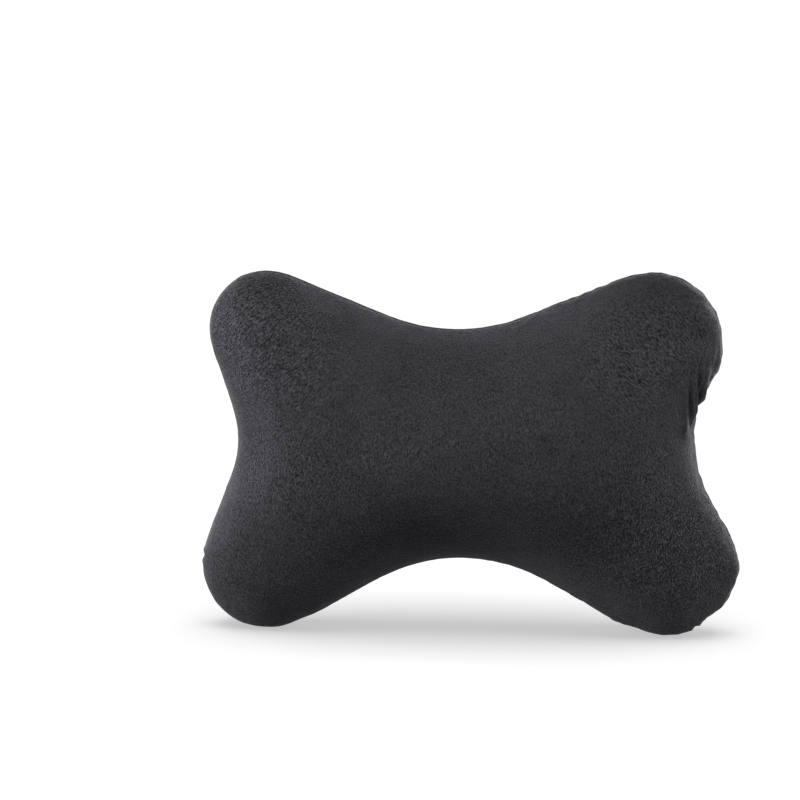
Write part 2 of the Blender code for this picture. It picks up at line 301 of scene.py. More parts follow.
@dataclass
class NodeBench:
    """Places and joins the nodes of one material."""

    material: bpy.types.Material
    column: int = 0

    def add(self, kind: str, **settings: object) -> bpy.types.Node:
        """Adds a node.

        Args:
            kind: The node's type name.
            settings: Attributes to set on it.

        Returns:
            The new node.
        """
        node = self.material.node_tree.nodes.new(kind)
        node.location = (-220 * self.column, -60 * (self.column % 5))
        self.column += 1
        for key, value in settings.items():
            setattr(node, key, value)
        return node

    def join(self, source: bpy.types.NodeSocket, target: bpy.types.NodeSocket) -> None:
        """Links an output to an input."""
        self.material.node_tree.links.new(source, target)

    def object_place(
        self,
        stretch: tuple[float, float, float] = (1.0, 1.0, 1.0),
        turn: tuple[float, float, float] = (0.0, 0.0, 0.0),
    ) -> bpy.types.NodeSocket:
        """The place on the piece, turned and stretched for a pattern.

        Args:
            stretch: How many times longer the pattern is along each of its turned axes.
            turn: The pattern's turn about each axis, in degrees.

        Returns:
            A vector output.
        """
        coordinates = self.add("ShaderNodeTexCoord")
        mapping = self.add("ShaderNodeMapping", vector_type="TEXTURE")
        mapping.inputs["Scale"].default_value = stretch
        mapping.inputs["Rotation"].default_value = [math.radians(angle) for angle in turn]
        self.join(coordinates.outputs["Object"], mapping.inputs["Vector"])
        return mapping.outputs["Vector"]

    def noise(
        self, place: bpy.types.NodeSocket, scale: float, detail: float, rough: float, warp: float = 0.0
    ) -> bpy.types.NodeSocket:
        """A noise pattern.

        Args:
            place: Where the pattern is read.
            scale: Lumps to the metre.
            detail: How many finer layers it has.
            rough: How strong the finer layers are.
            warp: How far the pattern is pulled about.

        Returns:
            A value output from 0 to 1.
        """
        node = self.add("ShaderNodeTexNoise")
        node.inputs["Scale"].default_value = scale
        node.inputs["Detail"].default_value = detail
        node.inputs["Roughness"].default_value = rough
        node.inputs["Distortion"].default_value = warp
        self.join(place, node.inputs["Vector"])
        return node.outputs["Fac"]

    def spread(
        self, value: bpy.types.NodeSocket, low: float, high: float, to_low: float, to_high: float
    ) -> bpy.types.NodeSocket:
        """Maps a value's range onto another, and holds it inside.

        Args:
            value: The value to map.
            low: Its low end.
            high: Its high end.
            to_low: What its low end becomes.
            to_high: What its high end becomes.

        Returns:
            A value output.
        """
        node = self.add("ShaderNodeMapRange", clamp=True)
        self.join(value, node.inputs["Value"])
        node.inputs["From Min"].default_value = low
        node.inputs["From Max"].default_value = high
        node.inputs["To Min"].default_value = to_low
        node.inputs["To Max"].default_value = to_high
        return node.outputs["Result"]

    def maths(
        self, operation: str, first: bpy.types.NodeSocket, second: bpy.types.NodeSocket | float
    ) -> bpy.types.NodeSocket:
        """Joins two values with one operation."""
        node = self.add("ShaderNodeMath", operation=operation)
        self.join(first, node.inputs[0])
        if isinstance(second, float):
            node.inputs[1].default_value = second
        else:
            self.join(second, node.inputs[1])
        return node.outputs[0]

    def blend(
        self, share: bpy.types.NodeSocket, first: bpy.types.NodeSocket, second: bpy.types.NodeSocket
    ) -> bpy.types.NodeSocket:
        """The first value where the share is 0, and the second where it is 1."""
        node = self.add("ShaderNodeMix", data_type="FLOAT")
        for name, source in (("Factor", share), ("A", first), ("B", second)):
            self.join(source, node.inputs[name])
        return node.outputs["Result"]

    def painted(self, name: str) -> bpy.types.NodeSocket:
        """A value that is painted on the piece's points."""
        return self.add("ShaderNodeAttribute", attribute_name=name).outputs["Fac"]

    def tint(
        self,
        share: bpy.types.NodeSocket,
        dark: tuple[float, float, float],
        light: tuple[float, float, float],
    ) -> bpy.types.NodeSocket:
        """A colour between two.

        Args:
            share: A value output, 0 for the dark colour and 1 for the light one.
            dark: The dark colour.
            light: The light colour.

        Returns:
            A colour output.
        """
        node = self.add("ShaderNodeMix", data_type="RGBA")
        node.inputs["A"].default_value = (*dark, 1.0)
        node.inputs["B"].default_value = (*light, 1.0)
        self.join(share, node.inputs["Factor"])
        return node.outputs["Result"]

    def bump(self, height: bpy.types.NodeSocket, distance: float, strength: float) -> bpy.types.NodeSocket:
        """A normal that follows a height pattern.

        Args:
            height: The pattern.
            distance: How high it stands, in metres.
            strength: The share of that height that shows.

        Returns:
            A normal output.
        """
        node = self.add("ShaderNodeBump")
        node.inputs["Distance"].default_value = distance
        node.inputs["Strength"].default_value = strength
        self.join(height, node.inputs["Height"])
        return node.outputs["Normal"]


def new_bench(name: str, roughness: float, specular: float) -> tuple[NodeBench, bpy.types.Node]:
    """Starts a node material.

    Args:
        name: The material's name.
        roughness: How matt it is.
        specular: Its specular level.

    Returns:
        The bench and its Principled shader.
    """
    material = bpy.data.materials.new(name)
    material.use_nodes = True
    shader = material.node_tree.nodes["Principled BSDF"]
    shader.inputs["Roughness"].default_value = roughness
    shader.inputs["Specular IOR Level"].default_value = specular
    shader.inputs["Metallic"].default_value = 0.0
    return NodeBench(material), shader


@dataclass(frozen=True)
class PlushFinish:
    """Short dark plush: soft patches where the nap leans, a fine pile that leans outwards over both upper
    lobes, and a pale sheen. The cover paints painted highlights and painted shade into its colour, with
    lighter and darker nap, and where its grain is strong.
    """

    name: str = "dark_plush"
    dark: tuple[float, float, float] = (0.0, 0.0, 0.0)
    light: tuple[float, float, float] = (0.0500, 0.0486, 0.0560)
    mean_share: float = 0.245
    sheen: float = 0.09
    sheen_roughness: float = 0.42
    sheen_tint: tuple[float, float, float] = (0.88, 0.88, 1.0)
    patches_to_the_metre: float = 19.0
    clouds_to_the_metre: float = 75.0
    grain_to_the_metre: float = 1500.0
    grain_swing: float = 0.90
    strand_swing: float = 0.50
    pile_relief: float = 0.0007
    upright_length: float = 2.0
    leaning_length: float = 2.8
    left_lean: float = 47.0
    right_lean: float = -45.0
    lobe_out: Span = Span(0.030, 0.075)
    lobe_up: Span = Span(0.095, 0.140)

    def lobe_share(self, bench: NodeBench, side: float) -> bpy.types.NodeSocket:
        """Rises from 0 in the middle to 1 over one of the upper lobes.

        Args:
            bench: The material's bench.
            side: -1 for the left lobe and 1 for the right one.

        Returns:
            A value output from 0 to 1.
        """
        parts = bench.add("ShaderNodeSeparateXYZ")
        bench.join(bench.object_place(), parts.inputs["Vector"])
        out, up = self.lobe_out, self.lobe_up
        outwards = bench.spread(parts.outputs["X"], side * out.start, side * out.end, 0.0, 1.0)
        upwards = bench.spread(parts.outputs["Z"], up.start, up.end, 0.0, 1.0)
        return bench.maths("MULTIPLY", outwards, upwards)

    def strokes(self, bench: NodeBench, lean: float, length: float) -> bpy.types.NodeSocket:
        """The pile's grain, drawn out along one direction.

        Args:
            bench: The material's bench.
            lean: The grain's lean from upright towards +X, in degrees.
            length: How many times longer than wide the strokes are.

        Returns:
            A value output from 0 to 1.
        """
        place = bench.object_place((1.0, 1.2, length), (0.0, lean, 0.0))
        return bench.noise(place, self.grain_to_the_metre, 1.0, 0.5, 0.1)

    def grain(self, bench: NodeBench) -> bpy.types.NodeSocket:
        """The grain, upright in the middle and leaning outwards over the upper lobes."""
        grain = self.strokes(bench, 0.0, self.upright_length)
        for side, lean in ((-1.0, self.left_lean), (1.0, self.right_lean)):
            leaning = self.strokes(bench, lean, self.leaning_length)
            grain = bench.blend(self.lobe_share(bench, side), grain, leaning)
        return grain

    def material(self) -> bpy.types.Material:
        """Builds the material.

        Returns:
            The finished material.
        """
        bench, shader = new_bench(self.name, 0.95, 0.08)
        plain = bench.object_place()
        patches = bench.noise(plain, self.patches_to_the_metre, 2.0, 0.5, 0.6)
        clouds = bench.noise(plain, self.clouds_to_the_metre, 2.0, 0.5, 0.3)
        grain = self.grain(bench)
        strands = bench.noise(plain, 1.5 * self.grain_to_the_metre, 1.0, 0.5)
        fine = bench.spread(grain, 0.25, 0.75, -self.grain_swing, self.grain_swing)
        finest = bench.spread(strands, 0.25, 0.75, -self.strand_swing, self.strand_swing)
        uneven = bench.spread(patches, 0.35, 0.65, 0.85, 1.15)
        strength = bench.maths("MULTIPLY", bench.painted("pile_grain"), uneven)
        pile = bench.maths("MULTIPLY", bench.maths("ADD", fine, finest), strength)
        lean = bench.maths("ADD", bench.spread(patches, 0.36, 0.64, -0.10, 0.10),
                           bench.spread(clouds, 0.34, 0.66, -0.06, 0.06))
        # The painted attribute adds painted highlights along the seam and on crease ridges, painted shade in
        # creases and dents, and patches of nap tone, painted shade and painted highlights.
        whole = bench.maths("ADD", bench.maths("ADD", pile, lean), bench.painted("painted_light_and_tone"))
        share = bench.maths("MULTIPLY", bench.maths("ADD", whole, 1.0), self.mean_share)
        bench.join(bench.tint(share, self.dark, self.light), shader.inputs["Base Color"])
        relief = bench.maths("MULTIPLY", bench.maths("ADD", grain, strands), strength)
        bench.join(bench.bump(relief, self.pile_relief, 0.8), shader.inputs["Normal"])
        shader.inputs["Sheen Weight"].default_value = self.sheen
        shader.inputs["Sheen Roughness"].default_value = self.sheen_roughness
        shader.inputs["Sheen Tint"].default_value = (*self.sheen_tint, 1.0)
        return bench.material


@dataclass(frozen=True)
class FibreFinish:
    """Loose white polyester fibre, with fine crossing strands."""

    name: str = "white_fibre"
    dark: tuple[float, float, float] = (0.62, 0.62, 0.60)
    light: tuple[float, float, float] = (0.88, 0.88, 0.86)
    strands_to_the_metre: float = 900.0
    strand_relief: float = 0.001

    def material(self) -> bpy.types.Material:
        """Builds the material.

        Returns:
            The finished material.
        """
        bench, shader = new_bench(self.name, 1.0, 0.1)
        rising = bench.object_place((1.0, 1.0, 12.0), (20.0, 35.0, 0.0))
        lying = bench.object_place((12.0, 1.0, 1.0), (0.0, -25.0, 30.0))
        along, across = (bench.noise(place, self.strands_to_the_metre, 3.0, 0.6, 1.2)
                         for place in (rising, lying))
        strands = bench.maths("MAXIMUM", along, across)
        share = bench.spread(strands, 0.4, 0.75, 0.0, 1.0)
        bench.join(bench.tint(share, self.dark, self.light), shader.inputs["Base Color"])
        bench.join(bench.bump(strands, self.strand_relief, 0.8), shader.inputs["Normal"])
        shader.inputs["Sheen Weight"].default_value = 0.3
        return bench.material


@dataclass(frozen=True)
class ElasticFinish:
    """Black woven elastic, ribbed along the strap with fine cross threads."""

    name: str = "black_elastic"
    dark: tuple[float, float, float] = (0.006, 0.006, 0.007)
    light: tuple[float, float, float] = (0.018, 0.018, 0.019)
    ribs_to_the_metre: float = 640.0
    threads_to_the_metre: float = 1300.0
    fluff_to_the_metre: float = 1500.0
    thread_relief: float = 0.0004

    def bands(self, bench: NodeBench, weave: Weave, to_the_metre: float) -> bpy.types.NodeSocket:
        """Ribs or cross threads, as soft waves.

        Args:
            bench: The material's bench.
            weave: Which way the ribs run.
            to_the_metre: How many there are to the metre.

        Returns:
            A value output from 0 to 1.
        """
        turn = (0.0, 90.0, 0.0) if weave is Weave.LENGTHWISE else (0.0, 0.0, 0.0)
        node = bench.add("ShaderNodeTexWave", wave_type="BANDS", bands_direction="X", wave_profile="SIN")
        node.inputs["Scale"].default_value = to_the_metre / 20.0 * 2.0 * math.pi
        node.inputs["Distortion"].default_value = 0.6
        node.inputs["Detail Scale"].default_value = 3.0
        bench.join(bench.object_place(turn=turn), node.inputs["Vector"])
        return node.outputs["Fac"]

    def material(self) -> bpy.types.Material:
        """Builds the material.

        Returns:
            The finished material.
        """
        bench, shader = new_bench(self.name, 0.85, 0.12)
        ribs = self.bands(bench, Weave.LENGTHWISE, self.ribs_to_the_metre)
        threads = self.bands(bench, Weave.CROSSWISE, self.threads_to_the_metre)
        fluff = bench.noise(bench.object_place(), self.fluff_to_the_metre, 2.0, 0.6)
        woven = bench.maths("MULTIPLY", ribs, bench.spread(threads, 0.0, 1.0, 0.45, 1.0))
        share = bench.maths("MULTIPLY", woven, bench.spread(fluff, 0.3, 0.7, 0.6, 1.1))
        bench.join(bench.tint(share, self.dark, self.light), shader.inputs["Base Color"])
        bench.join(bench.bump(woven, self.thread_relief, 0.8), shader.inputs["Normal"])
        shader.inputs["Sheen Weight"].default_value = 0.02
        return bench.material


@dataclass(frozen=True)
class FloorFinish:
    """A plain pale paper floor, which glows a little and throws soft light up at the pillow.

    Attributes:
        name: The material's name.
        thrown_back: How pale it is to the light that it throws back.
        seen: How pale it is to the camera.
        glow: Its glow to the camera.
        thrown_up: Its glow towards the pillow.
    """

    name: str = "pale_floor"
    thrown_back: float = 0.60
    seen: float = 0.68
    glow: float = 0.49
    thrown_up: float = 0.60

    def material(self) -> bpy.types.Material:
        """Builds the material.

        Returns:
            The finished material.
        """
        bench, shader = new_bench(self.name, 1.0, 0.0)
        to_camera = bench.add("ShaderNodeLightPath").outputs["Is Camera Ray"]
        paper = bench.tint(to_camera, (self.thrown_back,) * 3, (self.seen,) * 3)
        strength = bench.spread(to_camera, 0.0, 1.0, self.thrown_up, self.glow)
        bench.join(paper, shader.inputs["Base Color"])
        bench.join(strength, shader.inputs["Emission Strength"])
        shader.inputs["Emission Color"].default_value = (1.0, 1.0, 1.0, 1.0)
        return bench.material


# Pieces


@dataclass(frozen=True)
class Crease:
    """A narrow valley in the plush, with the cloth standing up a little on both sides of it.

    Attributes:
        start: Where it begins, as x and z seen from the front.
        end: Where it runs out.
        depth: How deep it is at its deepest.
        width: Half of its width.
        bow: How far its middle bends to the left of the line from start to end.
        shade: How strong the painted shade in its valley is, and the painted highlight where the cloth
            stands up beside it.
        ridge_place: How far beside the valley the cloth stands up, in widths.
        ridge_width: Half of the width of each ridge, in widths.
        ridge_height: How high it stands, as a share of the depth.
        run_in: The share of the length over which the crease deepens from its start.
        run_out: The share over which it runs out at its end.
    """

    ridge_place: ClassVar[float] = 1.8
    ridge_width: ClassVar[float] = 0.8
    ridge_height: ClassVar[float] = 0.7
    run_in: ClassVar[float] = 0.30
    run_out: ClassVar[float] = 0.55
    start: tuple[float, float]
    end: tuple[float, float]
    depth: float
    width: float
    bow: float = 0.0
    shade: float = 0.0

    def shape(self, flat: np.ndarray) -> np.ndarray:
        """The crease's form, 1 in its valley and below 0 where the cloth stands up.

        Args:
            flat: Points as rows of x and z.

        Returns:
            One value for each point.
        """
        begin, finish = np.array(self.start), np.array(self.end)
        run = finish - begin
        length = float(np.linalg.norm(run))
        along = (flat - begin) @ run / length**2
        aside = (flat - begin) @ np.array([-run[1], run[0]]) / length
        aside = aside - self.bow * 4.0 * along * (1.0 - along)
        valley = np.exp(-((aside / self.width) ** 2))
        beside = (np.abs(aside) / self.width - self.ridge_place) / self.ridge_width
        ridges = np.exp(-(beside**2))
        fade = smooth_step(along / self.run_in) * smooth_step((1.0 - along) / self.run_out)
        return fade * (valley - self.ridge_height * ridges)


@dataclass(frozen=True)
class SoftSpot:
    """An oval spot on the plush that fades out on all sides.

    Attributes:
        centre: Its middle, as x and z seen from the front.
        reach: How far it spreads along x and z.
    """

    centre: tuple[float, float]
    reach: tuple[float, float]

    def shape(self, flat: np.ndarray) -> np.ndarray:
        """The spot's form over the plush.

        Args:
            flat: Points as rows of x and z.

        Returns:
            One value for each point, 1 in its middle and 0 far away.
        """
        away = (flat - np.array(self.centre)) / np.array(self.reach)
        return np.exp(-(away**2).sum(axis=1))


@dataclass(frozen=True)
class Dent(SoftSpot):
    """A broad soft hollow in the plush, or a swelling where its depth is below 0.

    Attributes:
        depth: How deep it is in the middle.
        shade: How strong the painted shade in it is.
    """

    depth: float
    shade: float = 0.0


@dataclass(frozen=True)
class NapAndLightPatch(SoftSpot):
    """A patch where the pile is painted lighter or darker, standing for its nap's own tone in some places
    and for painted shade and painted highlights in others, and where its grain is stronger.

    Attributes:
        lift: How much lighter it is painted, as a share; below 0 it is painted darker.
        grain: How much stronger its grain is, as a share.
    """

    lift: float
    grain: float


@dataclass
class StuffedBag:
    """The closed bag that both plush panels are cut from, blown up by a cloth simulation.

    Attributes:
        seam_roll: How far from the seam's plane the edges roll in, where the panels' outer faces end.
        voxel: The size of the bag's quads before it is divided.
        pressure: How hard the filling presses.
        frames: How long the simulation runs.
        spare_cloth: How much larger the cloth is than the bag, as a share.
        held_band: How far from the seam's plane the cloth is held fast.
        held_fade: Over how much more the hold fades.
        most_move: How far a point may move.
        smoothings: How often the stuffed cloth is smoothed.
        started: The bag's points before the simulation.
        moved: How far each of them has moved.
    """

    seam_roll: float = 0.0045
    voxel: float = 0.0058
    pressure: float = 4.0
    frames: int = 20
    spare_cloth: float = 0.015
    held_band: float = 0.0035
    held_fade: float = 0.004
    most_move: float = 0.006
    smoothings: int = 2
    started: np.ndarray = field(default_factory=lambda: np.empty((0, 3)))
    moved: np.ndarray = field(default_factory=lambda: np.empty((0, 3)))

    def build(self) -> bpy.types.Object:
        """Makes the bag.

        Returns:
            A closed object of even quads, stuffed.
        """
        bag = self.closed_skin()
        depth = abs(points_of(bag.data)[:, 1]).max()
        self.remesh(bag)
        self.started = points_of(bag.data)
        self.stuff(bag, depth)
        self.moved = points_of(bag.data) - self.started
        LOG.info("stuffed bag: %d points, furthest move %.1f mm", len(self.moved),
                 1000 * np.linalg.norm(self.moved, axis=1).max())
        return bag

    def closed_skin(self) -> bpy.types.Object:
        """Takes the outer faces off both panels and joins them straight across the seam.

        Returns:
            The coarse closed bag.
        """
        bm = bmesh.new()
        for name in ("front_panel", "back_panel"):
            bm.from_mesh(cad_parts[name].data)
        bmesh.ops.remove_doubles(bm, verts=bm.verts, dist=1e-5)
        bm.normal_update()
        middle = Vector((0.0, 0.0, (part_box("front_panel")[0][2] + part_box("front_panel")[1][2]) / 2))
        inside = []
        for face in bm.faces:
            in_seam = min(abs(vert.co.y) for vert in face.verts) < self.seam_roll - 1e-4
            faces_in = face.normal.dot(face.calc_center_median() - middle) < 0
            if in_seam or faces_in:
                inside.append(face)
        bmesh.ops.delete(bm, geom=inside, context="FACES")
        bmesh.ops.bridge_loops(bm, edges=[edge for edge in bm.edges if edge.is_boundary])
        bmesh.ops.join_triangles(bm, faces=bm.faces, angle_face_threshold=math.radians(50),
                                 angle_shape_threshold=math.radians(120))
        bmesh.ops.recalc_face_normals(bm, faces=bm.faces)
        return object_from(bm, "stuffed_bag")

    def remesh(self, bag: bpy.types.Object) -> None:
        """Gives the bag even quads, smoothed and laid back on its own surface.

        Args:
            bag: The coarse closed bag.
        """
        subdivide_smoothly(bag, 2)
        tree = surface_tree(bag)
        even = bag.modifiers.new("even_quads", "REMESH")
        even.mode = "VOXEL"
        even.voxel_size = self.voxel
        apply_modifiers(bag)
        with edited(bag) as bm:
            smooth_verts(bm, bm.verts, 3)
            for vert in bm.verts:
                vert.co = tree.find_nearest(vert.co)[0]
        bag.data.shade_smooth()

    def stuff(self, bag: bpy.types.Object, depth: float) -> None:
        """Blows the bag up with the seam held, and keeps its depth.

        Args:
            bag: The bag of even quads.
            depth: How far the stuffed bag reaches from the seam's plane.
        """
        held = bag.vertex_groups.new(name="seam")
        shares = 1.0 - smooth_step((abs(self.started[:, 1]) - self.held_band) / self.held_fade)
        for index, share in enumerate(shares):
            held.add([index], float(share), "REPLACE")
        cloth = bag.modifiers.new("stuffing", "CLOTH")
        cloth.settings.quality = 6
        cloth.settings.mass = 0.3
        cloth.settings.tension_stiffness = 12.0
        cloth.settings.compression_stiffness = 12.0
        cloth.settings.shear_stiffness = 4.0
        cloth.settings.bending_stiffness = 0.4
        cloth.settings.shrink_min = -self.spare_cloth
        cloth.settings.use_pressure = True
        cloth.settings.uniform_pressure_force = self.pressure
        cloth.settings.vertex_group_mass = "seam"
        cloth.settings.effector_weights.gravity = 0.0
        cloth.collision_settings.use_collision = False
        cloth.point_cache.frame_start = 1
        cloth.point_cache.frame_end = self.frames
        for number in range(1, self.frames + 1):
            bpy.context.scene.frame_set(number)
        apply_modifiers(bag)
        bag.vertex_groups.clear()
        move = points_of(bag.data) - self.started
        length = np.linalg.norm(move, axis=1, keepdims=True)
        move = move * np.minimum(1.0, self.most_move / np.maximum(length, 1e-9))
        swollen = self.started + move
        swollen[:, 1] = swollen[:, 1] * depth / abs(swollen[:, 1]).max()
        place_points(bag.data, swollen)
        with edited(bag) as bm:
            loose = [vert for vert in bm.verts if abs(vert.co.y) > self.seam_roll]
            smooth_verts(bm, loose, self.smoothings)


@dataclass
class StrapBed:
    """The shallow bed that the strap presses into the back plush.

    Attributes:
        low: The strap's lower edge.
        high: Its upper edge.
        left: Its left end.
        right: Its right end.
        path: The line of its inner face, as rows of x and y.
        clearance: How far under the strap the plush stays.
        ease: Over what distance the plush eases back beside the strap.
        most_raise: How far the plush may come out to meet the strap.
    """

    low: float
    high: float
    left: float
    right: float
    path: np.ndarray
    clearance: float = 0.0004
    ease: float = 0.007
    most_raise: float = 0.003

    @classmethod
    def under_strap(cls, places: int = 191, smoothings: int = 50) -> "StrapBed":
        """Reads the bed from the frame's strap, and rounds the strap's line between its few stations.

        Args:
            places: How many points the rounded line has.
            smoothings: How often it is smoothed.

        Returns:
            The bed.
        """
        points = points_of(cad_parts["headrest_strap"].data)
        stations = sorted({round(float(x), 4) for x in points[:, 0]})
        inner = [points[abs(points[:, 0] - x) < 2e-4][:, 1].min() for x in stations]
        across = np.linspace(stations[0], stations[-1], places)
        heights = np.interp(across, stations, inner)
        for _ in range(smoothings):
            heights[1:-1] = (heights[:-2] + 2.0 * heights[1:-1] + heights[2:]) / 4.0
        path = np.column_stack([across, heights])
        return cls(float(points[:, 2].min()), float(points[:, 2].max()), stations[0], stations[-1], path)

    def line(self, x: float | np.ndarray) -> float | np.ndarray:
        """How far back the strap's inner face lies at a place along the width."""
        return np.interp(x, self.path[:, 0], self.path[:, 1])

    def press(self, points: np.ndarray) -> np.ndarray:
        """Brings the back plush to just under the strap that is sewn to it, and eases it back beside it.

        Args:
            points: The bag's vertices.

        Returns:
            The vertices, moved.
        """
        under = self.line(points[:, 0]) - self.clearance
        beside = np.maximum(self.low - points[:, 2], points[:, 2] - self.high)
        past = np.maximum(self.left - points[:, 0], points[:, 0] - self.right)
        share = 1.0 - smooth_step(np.maximum(np.maximum(beside, past), 0.0) / self.ease)
        met = np.minimum(under, points[:, 1] + self.most_raise)
        on_back = points[:, 1] > self.path[:, 1].min() / 2
        pressed = points.copy()
        pressed[:, 1] = np.where(on_back, points[:, 1] + share * (met - points[:, 1]), points[:, 1])
        return pressed


@dataclass
class PlushCover:
    """The front and the back plush, creased, sewn in along the seam and pressed flat where they stand.

    Attributes:
        thickness: The cloth's, with its pile.
        seam_gap: Half of the gap between the two panels at the seam.
        seam_sink: How deep the seam is drawn in.
        seam_width: How far from the seam the cloth is drawn in with it.
        seam_fall: How sharply it is drawn in, as a power.
        seam_uneven: How much the depth of the seam varies, as a share.
        seam_pitch: The size of these changes.
        allowance: The cloth that is turned in behind the seam.
        allowance_lean: How far its edge leans back, so that no light passes through the seam.
        ripple: The height of the cloth's broad ripples.
        ripple_pitch: Their size.
        pile: The height of the pile's small lumps.
        pile_pitch: Their size.
        edge_rough: How rough the edge of the right half is.
        edge_pitch: The size of its bumps.
        edge_reach: How far they reach from the seam.
        edge_right: Where they rise along X.
        pile_stand: How far the pile stands out round the edge.
        stand_reach: How far from the seam it does.
        rim_highlight: How strong the painted highlight along the seam is, as a share of the pile's colour.
        rim_reach: How far from the seam it is.
        rim_everywhere: The share of it that shows all round.
        rim_at_ends: The share that the two ends add.
        rim_at_foot: The share that the foot adds.
        rim_under_top: Where it rises down from the top.
        rim_ends: Where the ends begin, on both sides of the middle.
        rim_foot: Where the foot begins.
        creased: Where the creases rise along Y, from the back to the front.
        shaded: Where the dents' shade rises along Y.
        fan_low: The low corner of the part with finer faces, as x and z.
        fan_high: Its high corner.
        fan_back: How far back it reaches.
        creases: The narrow valleys.
        dents: The broad hollows.
        patches: Where the pile is painted lighter or darker, as nap tone, painted shade and painted
            highlights, and where its grain is stronger.
    """

    thickness: float = 0.002
    seam_gap: float = 0.00006
    seam_sink: float = 0.0010
    seam_width: float = 0.0026
    seam_fall: float = 1.6
    seam_uneven: float = 0.25
    seam_pitch: float = 0.011
    allowance: float = 0.007
    allowance_lean: float = 0.0008
    ripple: float = 0.0003
    ripple_pitch: float = 0.034
    pile: float = 0.00012
    pile_pitch: float = 0.0034
    edge_rough: float = 0.0006
    edge_pitch: float = 0.0045
    edge_reach: float = 0.012
    edge_right: Span = Span(-0.02, 0.06)
    pile_stand: float = 0.0009
    stand_reach: float = 0.022
    rim_highlight: float = 0.7
    rim_reach: float = 0.0065
    rim_everywhere: float = 0.35
    rim_at_ends: float = 0.65
    rim_at_foot: float = 1.3
    rim_under_top: Span = Span(0.190, 0.165)
    rim_ends: Span = Span(0.085, 0.120)
    rim_foot: Span = Span(0.060, 0.040)
    creased: Span = Span(0.024, 0.010)
    shaded: Span = Span(0.002, -0.012)
    fan_low: tuple[float, float] = (0.111, 0.110)
    fan_high: tuple[float, float] = (0.135, 0.157)
    fan_back: float = 0.004
    # Each crease's shade paints shade into its valley and a painted highlight on its ridges.
    creases: tuple[Crease, ...] = (
        Crease((0.1182, 0.1050), (0.1155, 0.1460), 0.0011, 0.0012, 0.0, 0.75),
        Crease((0.1199, 0.1080), (0.1212, 0.1510), 0.0019, 0.0012, -0.0004, 0.95),
        Crease((0.1208, 0.1165), (0.1252, 0.1490), 0.0012, 0.0010, 0.0, 0.70),
        Crease((0.1230, 0.1195), (0.1294, 0.1540), 0.0014, 0.0010, 0.0, 0.90),
        Crease((0.1262, 0.1265), (0.1318, 0.1580), 0.0012, 0.0010, 0.0, 0.80),
        Crease((0.1160, 0.1800), (0.1250, 0.1775), 0.0004, 0.0009, 0.0006, 0.15),
        Crease((-0.1460, 0.0388), (-0.1310, 0.0366), 0.0006, 0.0017, 0.0, 0.30),
        Crease((-0.1264, 0.0070), (-0.1244, 0.0165), 0.0004, 0.0013, 0.0, 0.30),
        Crease((0.1250, -0.0030), (0.1150, 0.0130), 0.0007, 0.0015, 0.0, 0.3),
    )
    # A dent's shade paints shade into its hollow, most in the dimple below the right end.
    dents: tuple[Dent, ...] = (
        Dent((0.1135, 0.1190), (0.0050, 0.0110), 0.0010, 0.25),
        Dent((0.1125, 0.1080), (0.0058, 0.0044), 0.0016, 1.10),
        Dent((0.1127, 0.1700), (0.0030, 0.0026), 0.0005, 0.15),
        Dent((0.1195, 0.1625), (0.0065, 0.0060), 0.0008, 0.40),
        Dent((0.1410, 0.0370), (0.0055, 0.0065), -0.0015, 0.0),
        Dent((0.1300, 0.0060), (0.0120, 0.0110), 0.0024, 0.0),
        Dent((0.0900, 0.0040), (0.0080, 0.0100), 0.0020, 0.0),
        Dent((-0.0900, 0.0040), (0.0080, 0.0100), 0.0014, 0.0),
    )
    # The patches' lift paints the pile lighter or darker: painted shade across the lower middle, over the
    # lower lobes and on the tops of both upper lobes, and a painted highlight low on the left edge. Their
    # grain is the pile's own.
    patches: tuple[NapAndLightPatch, ...] = (
        NapAndLightPatch((-0.118, 0.160), (0.034, 0.034), 0.06, 1.2),
        NapAndLightPatch((0.112, 0.050), (0.030, 0.024), -0.20, 2.4),
        NapAndLightPatch((0.095, 0.145), (0.034, 0.040), 0.24, 0.70),
        NapAndLightPatch((0.120, 0.064), (0.011, 0.014), -0.35, 0.2),
        NapAndLightPatch((0.108, 0.100), (0.016, 0.020), -0.10, 0.4),
        NapAndLightPatch((0.1210, 0.1390), (0.0045, 0.012), -0.45, 0.0),
        NapAndLightPatch((-0.090, 0.100), (0.040, 0.030), -0.05, 0.9),
        NapAndLightPatch((-0.130, 0.150), (0.013, 0.032), 0.34, 3.2),
        NapAndLightPatch((-0.118, 0.108), (0.012, 0.027), 0.0, 3.0),
        NapAndLightPatch((-0.131, 0.053), (0.007, 0.008), 0.60, 0.3),
        NapAndLightPatch((-0.121, 0.030), (0.007, 0.014), -0.15, 0.0),
        NapAndLightPatch((-0.098, 0.018), (0.026, 0.016), -0.30, -0.2),
        NapAndLightPatch((0.092, 0.188), (0.034, 0.013), -0.38, -0.7),
        NapAndLightPatch((-0.100, 0.194), (0.032, 0.012), -0.90, 0.0),
        NapAndLightPatch((0.000, 0.055), (0.085, 0.024), -0.58, -0.10),
        NapAndLightPatch((0.000, 0.018), (0.170, 0.045), -0.32, 0.0),
    )

    def build(self, bag: bpy.types.Object, bed: StrapBed) -> dict[Side, bpy.types.Object]:
        """Shapes the bag and cuts both panels from it.

        Args:
            bag: The stuffed bag, which is used up.
            bed: Where the strap presses the back in.

        Returns:
            The front and the back plush.
        """
        subdivide_smoothly(bag, 2)
        self.refine_fan(bag)
        with edited(bag) as bm:
            cut_by_seam(bm, Side.FRONT, drop_outer=False)
        self.sculpt(bag, bed)
        panels = {side: self.panel(bag, side) for side in Side}
        delete_object(bag)
        return panels

